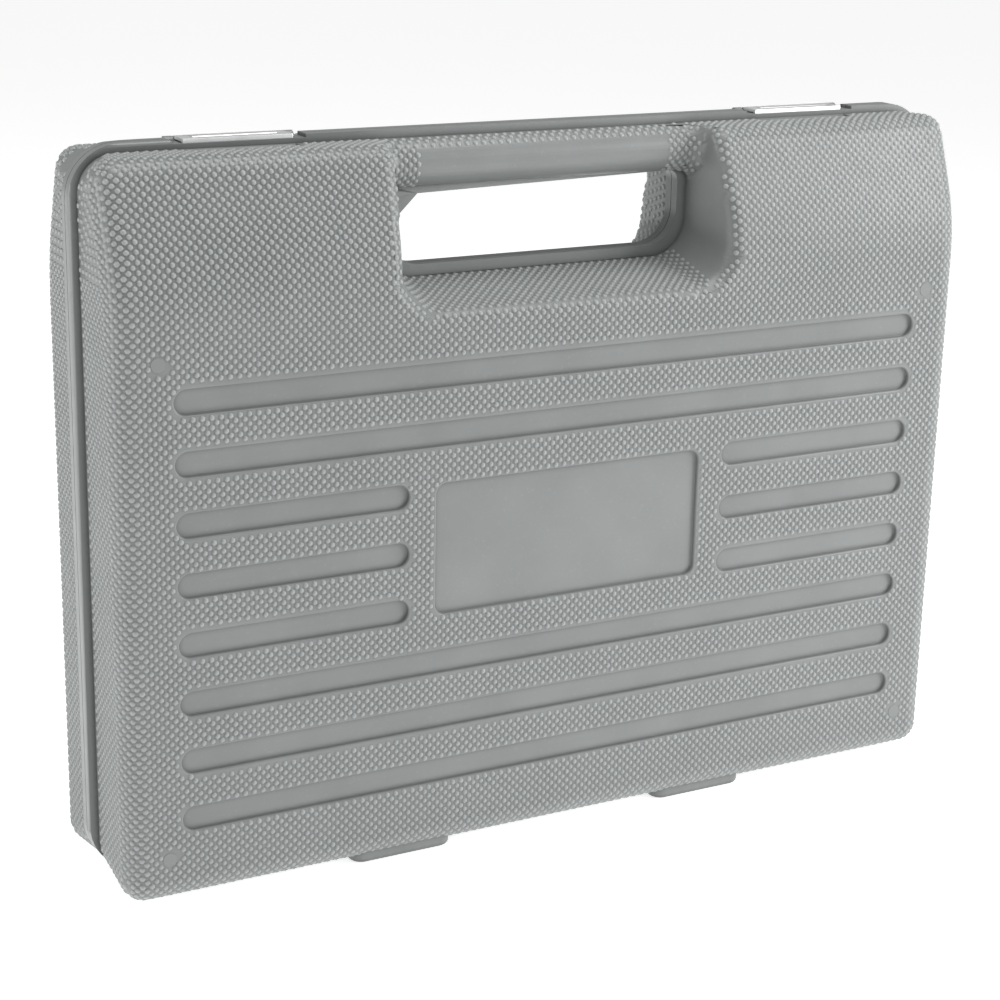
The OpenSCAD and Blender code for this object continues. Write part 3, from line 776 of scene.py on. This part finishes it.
class WRENCHCASE_OT_shells(bpy.types.Operator):
    """Build both shells of the case with soft rims and raised dots"""

    bl_idname = "wrench_case.shells"
    bl_label = "Case Shells"

    def execute(self, context):
        pattern = dome()
        tree = dot_nodes(pattern)
        context.view_layer.update()
        for node, body, side in (("front_shell", "lid", -1), ("base_shell", "root", 1)):
            bm = shell_mesh(node, side)
            bvh = BVHTree.FromBMesh(bm)
            shell = even_normals(to_object(bm, node + "_piece"))
            place(shell, body, "case_plastic", [node])
            dots = DotSheets(bvh, side)
            flat = SHOULDER_Z - BEND_LOW
            across = WALL_HALF + 40 * MM
            reach = 130 * MM if side > 0 else 58 * MM
            sheets = [
                dots.sheet(node + "_lower", skin, 0.49, (0, 0.1), (-across, across, -0.036, 0.094)),
                dots.sheet(node + "_upper", skin, 0.49, (0, 0.1), (-across, across, 0.094, flat)),
                dots.sheet(node + "_shoulder", skin, 0.53, (0, 0.1), (-across, across, flat, flat + 0.085)),
                dots.sheet(node + "_hand", scoop_skin, 0.26, (0, 0), (-reach, reach, 4.6 * MM, 40 * MM)),
                dots.sheet(node + "_grip", bar_skin, 0.12, (0, 0), (-0.065, 0.065, 0, BAR_R * math.pi)),
                dots.sheet(node + "_corner", corner_skin, 0.16, (0.041, 0.015), (0, 0.082, 5 * MM, 34 * MM)),
            ]
            context.view_layer.update()
            for carrier in sheets:
                baked_dots(carrier, tree, body)
            self.round_spots(node + "_spots", body, side)
        bpy.data.objects.remove(pattern)
        return {"FINISHED"}

    def round_spots(self, name, body, side):
        """The four low round pads near the corners of a face."""
        bm = bmesh.new()
        for x, z in SPOTS:
            stand = Matrix.Translation((x, side * (FACE_DEPTH - 0.4 * MM), z))
            bmesh.ops.create_cone(bm, cap_ends=True, segments=32, radius1=SPOT_R, radius2=SPOT_R - 0.15 * MM,
                                  depth=1 * MM, matrix=stand @ Matrix.Rotation(-side * math.pi / 2, 4, "X"))
        proud = FACE_DEPTH + 0.05 * MM
        soften(bm, [e for e in bm.edges if min(abs(v.co.y) for v in e.verts) > proud], 0.1 * MM)
        smooth_shade(bm, 40)
        place(even_normals(to_object(bm, name)), body, "case_plastic")


class WRENCHCASE_OT_latches(bpy.types.Operator):
    """Build the two latch plates, their pins and the hinge pins"""

    bl_idname = "wrench_case.latches"
    bl_label = "Latches and Pins"

    def execute(self, context):
        for side in ("left", "right"):
            node = "latch_plate_" + side
            softened_node(node, "latch_" + side, "latch_steel", 0.3 * MM)
            low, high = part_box(node)
            self.pressed_rib(node + "_rib", "latch_" + side, (low + high) / 2, high)
            for pin in ("hinge_pin_", "latch_pin_"):
                softened_node(pin + side, "root", "pin_steel", 0.2 * MM)
        return {"FINISHED"}

    def pressed_rib(self, name, body, middle, high):
        """A long low rib pressed up in the plate."""
        bm = bmesh.new()
        bmesh.ops.create_grid(bm, x_segments=1, y_segments=1, size=0.5)
        bmesh.ops.scale(bm, verts=bm.verts, vec=(31 * MM, 4.2 * MM, 1))
        top = bmesh.ops.extrude_face_region(bm, geom=bm.faces[:])
        lifted = [v for v in top["geom"] if isinstance(v, bmesh.types.BMVert)]
        bmesh.ops.translate(bm, verts=lifted, vec=(0, 0, 0.4 * MM))
        bmesh.ops.scale(bm, verts=lifted, vec=(0.965, 0.76, 1))
        bmesh.ops.recalc_face_normals(bm, faces=bm.faces)
        soften(bm, [e for e in bm.edges if min(v.co.z for v in e.verts) > 0.35 * MM
                    or abs(e.verts[0].co.z - e.verts[1].co.z) > 0.1 * MM], 0.18 * MM, 3)
        moved(bm, (middle.x, 2.2 * MM, high.z - 0.15 * MM))
        smooth_shade(bm, 50)
        place(even_normals(to_object(bm, name)), body, "latch_steel")


# ---------- the tools ----------

class WRENCHCASE_OT_ratchet(bpy.types.Operator):
    """Build the ratchet with its grip, cover, drive, lever and button"""

    bl_idname = "wrench_case.ratchet"
    bl_label = "Ratchet"

    PIECES = (
        ("ratchet_body", "root", "tool_chrome", 0.4 * MM),
        ("ratchet_cover", "root", "tool_chrome", 0.25 * MM),
        ("ratchet_drive_gear", "ratchet_drive", "tool_chrome", 0.2 * MM),
        ("ratchet_reversing_lever", "reversing_lever", "control_steel", 0.4 * MM),
        ("ratchet_release_button", "release_button", "control_steel", 0.3 * MM),
    )

    # The grip, in mm: radius and distance along it, then the round end and the rings near its front
    OUTLINE = ((11, 0), (12.6, 2), (13, 12), (11.6, 26), (13, 44),
               (14.5, 70), (14.5, 92), (13.4, 106), (10.5, 112))
    WAVES_END = 106
    END_LENGTH = 3
    RINGS = (6, 24)
    RING_PITCH = 1.5
    FLUTES = (30, 104)
    FLUTE_COUNT = 12
    FLUTE_FADE = 8

    def execute(self, context):
        for node, body, slot, width in self.PIECES:
            softened_node(node, body, slot, width)
        refinished("ratchet_pawl", "machined_steel")
        refinished("cover_screws", "pin_steel")
        refinished("ratchet_lock_ball", "ball_steel")
        self.grip()
        return {"FINISHED"}

    def radius(self, z):
        """The grip's radius at a distance along it: soft waves, a cone, then a round end."""
        end_r, end_z = self.OUTLINE[-1]
        if z > end_z:
            return end_r * math.sqrt(max(0.0, 1 - ((z - end_z) / self.END_LENGTH) ** 2))
        for (r0, z0), (r1, z1) in zip(self.OUTLINE, self.OUTLINE[1:]):
            if z <= z1:
                t = (z - z0) / (z1 - z0)
                return r0 + (r1 - r0) * (t * t * (3 - 2 * t) if z1 <= self.WAVES_END else t)
        return 0.0

    def grip(self):
        """The moulded grip: a waisted handle with rings at its front and long flutes."""
        low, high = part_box("ratchet_grip")
        centre = (low + high) / 2
        length = (high.x - low.x) / MM
        profile = [(8.6, 0.0), (10.6, 0.0), (11.0, 0.4)]
        z = 1.2
        while z < length - 0.2:
            in_rings = self.RINGS[0] < z < self.RINGS[1]
            ring = 0.45 if in_rings and int((z - self.RINGS[0]) / self.RING_PITCH) % 2 else 0.0
            profile.append((self.radius(z) - ring - 0.05, z))
            z += 0.75
        profile += [(0, length), (0, 107), (8.6, 106)]
        bm = lathe([(r * MM, h * MM) for r, h in profile], 96)
        start, end = (limit * MM for limit in self.FLUTES)
        for v in bm.verts:
            r = v.co.xy.length
            if r > 9.5 * MM and start < v.co.z < end:
                fade = min(1, min(v.co.z - start, end - v.co.z) / (self.FLUTE_FADE * MM))
                flute = max(0.0, math.cos(self.FLUTE_COUNT * math.atan2(v.co.y, v.co.x))) ** 3
                v.co.xy *= 1 - 0.5 * MM * flute * fade / r
        turned(bm, "Y", math.pi / 2)
        moved(bm, (low.x, centre.y, centre.z))
        smooth_shade(bm, 50)
        place(to_object(bm, "ratchet_grip_piece"), "root", "grip_rubber", ["ratchet_grip"])


class WRENCHCASE_OT_sockets(bpy.types.Operator):
    """Build the sixteen sockets and the spark plug socket with its rubber ring"""

    bl_idname = "wrench_case.sockets"
    bl_label = "Sockets"

    def execute(self, context):
        for node in sorted(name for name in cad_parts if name.startswith("socket_")):
            softened_node(node, "root", "tool_chrome")
            low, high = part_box(node)
            centre = Vector(((low.x + high.x) / 2, (low.y + high.y) / 2, low.z))
            knurled_band(node + "_knurl", "root", centre, "Z", SOCKET_KNURL_R, 3.2 * MM, 9.2 * MM)
        softened_node("spark_plug_socket", "root", "tool_chrome")
        low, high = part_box("spark_plug_socket")
        centre = Vector((low.x, (low.y + high.y) / 2, (low.z + high.z) / 2))
        knurled_band("spark_plug_socket_knurl", "root", centre, "X", SOCKET_KNURL_R, 4 * MM, 13 * MM)
        softened_node("spark_plug_grommet", "root", "grommet_rubber", 0.6 * MM)
        return {"FINISHED"}


class WRENCHCASE_OT_bars(bpy.types.Operator):
    """Build the extensions, the universal joint and the sliding bar with its head"""

    bl_idname = "wrench_case.bars"
    bl_label = "Bars and Joint"

    def execute(self, context):
        for node in ("extension_long", "extension_short"):
            softened_node(node, "root", "tool_chrome", 0.35 * MM)
            low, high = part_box(node)
            centre = Vector((low.x, (low.y + high.y) / 2, (low.z + high.z) / 2))
            knurled_band(node + "_knurl", "root", centre, "X", BAR_KNURL_R, 5 * MM, 14 * MM)
        softened_node("joint_input_yoke", "root", "tool_chrome", 0.5 * MM)
        low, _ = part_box("joint_input_yoke")
        knurled_band("joint_input_yoke_knurl", "root", Vector((low.x, CROSS.y, CROSS.z)), "X",
                     JOINT_KNURL_R, 4 * MM, 12 * MM)
        softened_node("joint_cross", "universal_cross", "machined_steel", 0.4 * MM)
        softened_node("joint_output_yoke", "universal_output", "tool_chrome", 0.5 * MM)
        softened_node("sliding_bar", "root", "tool_chrome", 0.3 * MM)
        softened_node("sliding_head", "sliding_drive_head", "tool_chrome", 0.5 * MM)
        low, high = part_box("sliding_head")
        for end, near, far in (("left", 3, 9), ("right", 29, 35)):
            knurled_band("sliding_head_knurl_" + end, "sliding_drive_head",
                         Vector((low.x, 8 * MM, (low.z + high.z) / 2)), "X", BAR_KNURL_R, near * MM, far * MM)
        for ball in ("extension_balls", "joint_lock_ball", "sliding_head_ball"):
            refinished(ball, "ball_steel")
        return {"FINISHED"}


# ---------- the stage ----------

def area_light(name, location, target, size, power):
    """A soft rectangular light that points at a target."""
    data = bpy.data.lights.new(name, "AREA")
    data.shape = "RECTANGLE"
    data.size, data.size_y = size
    data.energy = power
    light = bpy.data.objects.new(name, data)
    bpy.context.scene.collection.objects.link(light)
    light.location = location
    light.rotation_euler = (Vector(target) - Vector(location)).to_track_quat("-Z", "Y").to_euler()


class WRENCHCASE_OT_stage(bpy.types.Operator):
    """Build the floor, the studio light and the camera"""

    bl_idname = "wrench_case.stage"
    bl_label = "Stage"

    def execute(self, context):
        look = context.scene.stage_look
        bm = bmesh.new()
        bmesh.ops.create_grid(bm, x_segments=2, y_segments=2, size=6)
        floor = to_object(bm, "stage_floor")
        mat, tree, shader, coords = new_finish("pale_floor")
        base = tuple(look.floor)
        colour = tint(tree, noise(tree, coords, 3), scaled(base, 0.99), base)
        tree.links.new(colour, shader.inputs["Base Color"])
        shader.inputs["Roughness"].default_value = 0.9
        shader.inputs["Emission Color"].default_value = (1, 1, 1, 1)
        shader.inputs["Emission Strength"].default_value = look.floor_glow
        floor.data.materials.append(mat)
        world = bpy.data.worlds.new("studio")
        context.scene.world = world
        world.use_nodes = True
        self.surroundings(world.node_tree, look.sky)
        area_light("top_softbox", (0.05, -0.15, 1.1), (0, 0, 0.12), (0.9, 0.6), 8)
        area_light("right_softbox", (0.62, -0.42, 0.4), (0.08, 0, 0.14), (0.35, 0.45), 4.2)
        area_light("left_softbox", (-1.15, 0.1, 0.35), (-0.1, 0, 0.13), (0.4, 0.6), 5)
        data = bpy.data.cameras.new("camera")
        data.lens = look.lens
        data.clip_start = 0.01
        data.clip_end = 50
        camera = bpy.data.objects.new("camera", data)
        context.scene.collection.objects.link(camera)
        camera.location = (-0.39622, -0.70371, 0.36447)
        camera.rotation_euler = Euler([math.radians(a) for a in (73.0574, -1.1474, -28.3996)], "XYZ")
        context.scene.camera = camera
        context.scene.view_settings.view_transform = "Standard"
        return {"FINISHED"}

    def surroundings(self, tree, strength):
        """Even light from all round, in front of a white backdrop."""
        glow = tree.nodes["Background"]
        glow.inputs["Color"].default_value = (1, 1, 1, 1)
        glow.inputs["Strength"].default_value = strength
        backdrop = tree.nodes.new("ShaderNodeBackground")
        backdrop.inputs["Strength"].default_value = 1.0
        path = tree.nodes.new("ShaderNodeLightPath")
        mix = tree.nodes.new("ShaderNodeMixShader")
        tree.links.new(path.outputs["Is Camera Ray"], mix.inputs["Fac"])
        tree.links.new(glow.outputs["Background"], mix.inputs[1])
        tree.links.new(backdrop.outputs["Background"], mix.inputs[2])
        tree.links.new(mix.outputs["Shader"], tree.nodes["World Output"].inputs["Surface"])


class WRENCHCASE_PT_sidebar(bpy.types.Panel):
    """Lists the pieces of the wrench case"""

    bl_idname = "WRENCHCASE_PT_sidebar"
    bl_label = "Socket Wrench Case"
    bl_space_type = "VIEW_3D"
    bl_region_type = "UI"
    bl_category = "Wrench Case"

    def draw(self, context):
        layout = self.layout
        for group, operators in (
            (context.scene.case_look, ("shells", "latches")),
            (context.scene.tool_look, ("ratchet", "sockets", "bars")),
            (context.scene.stage_look, ("stage",)),
        ):
            box = layout.box()
            for prop in group.bl_rna.properties:
                if prop.identifier not in ("rna_type", "name"):
                    box.prop(group, prop.identifier)
            for operator in operators:
                box.operator("wrench_case." + operator)


CLASSES = (CaseLook, ToolLook, StageLook, WRENCHCASE_OT_shells, WRENCHCASE_OT_latches, WRENCHCASE_OT_ratchet,
           WRENCHCASE_OT_sockets, WRENCHCASE_OT_bars, WRENCHCASE_OT_stage, WRENCHCASE_PT_sidebar)


def register():
    for cls in CLASSES:
        bpy.utils.register_class(cls)
    bpy.types.Scene.case_look = PointerProperty(type=CaseLook)
    bpy.types.Scene.tool_look = PointerProperty(type=ToolLook)
    bpy.types.Scene.stage_look = PointerProperty(type=StageLook)


def unregister():
    del bpy.types.Scene.stage_look
    del bpy.types.Scene.tool_look
    del bpy.types.Scene.case_look
    for cls in reversed(CLASSES):
        bpy.utils.unregister_class(cls)


def main():
    register()
    bpy.ops.wrench_case.stage()
    bpy.ops.wrench_case.shells()
    bpy.ops.wrench_case.latches()
    bpy.ops.wrench_case.ratchet()
    bpy.ops.wrench_case.sockets()
    bpy.ops.wrench_case.bars()
    bpy.context.view_layer.update()


if __name__ == "__main__":
    main()
